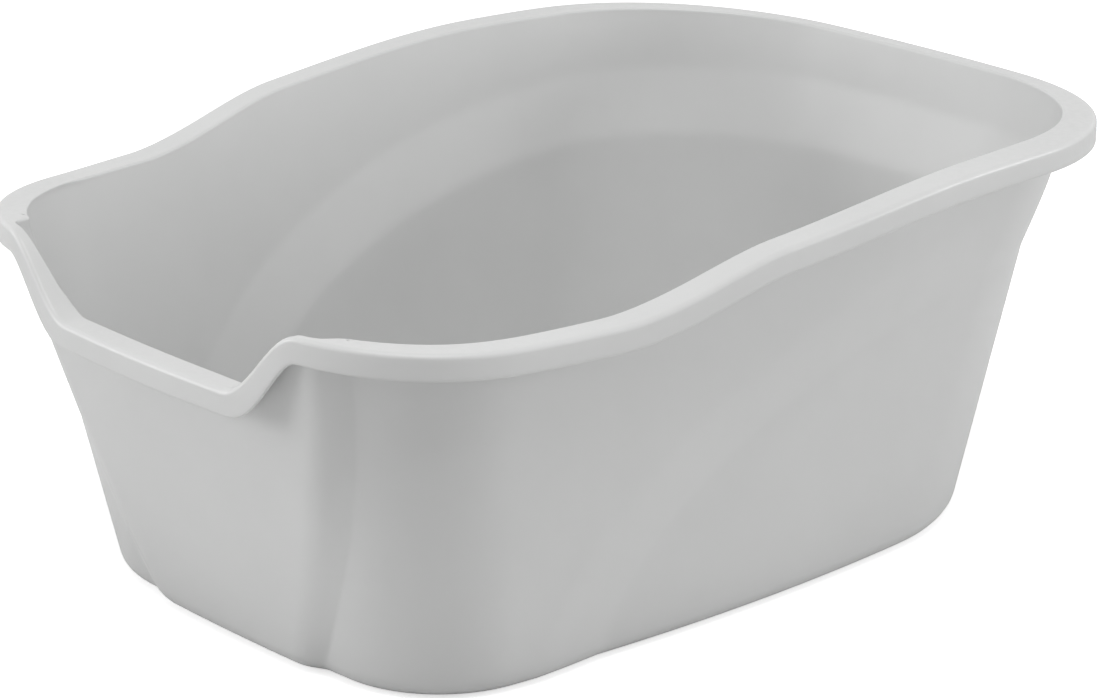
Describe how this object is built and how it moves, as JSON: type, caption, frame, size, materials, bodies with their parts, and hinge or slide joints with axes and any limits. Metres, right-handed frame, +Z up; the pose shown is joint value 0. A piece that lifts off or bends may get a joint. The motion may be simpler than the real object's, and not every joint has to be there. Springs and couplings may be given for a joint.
{
  "type": "high-sided litter box",
  "caption": "High-sided open litter pan with a low front entry, a raised back and a turned-down rim, moulded in one piece.",
  "frame": {"origin": "middle of the underside, on the surface that the pan rests on", "axes": "+X across the pan to the right as seen from the low entry, +Y from the low entry to the high back, +Z up"},
  "size_m": [0.4484, 0.61, 0.2464],
  "materials": {
    "pan_plastic": "fine satin, light grey polypropylene"
  },
  "bodies": {
    "root": {"litter_pan": "pan_plastic"}
  },
  "joints": []
}
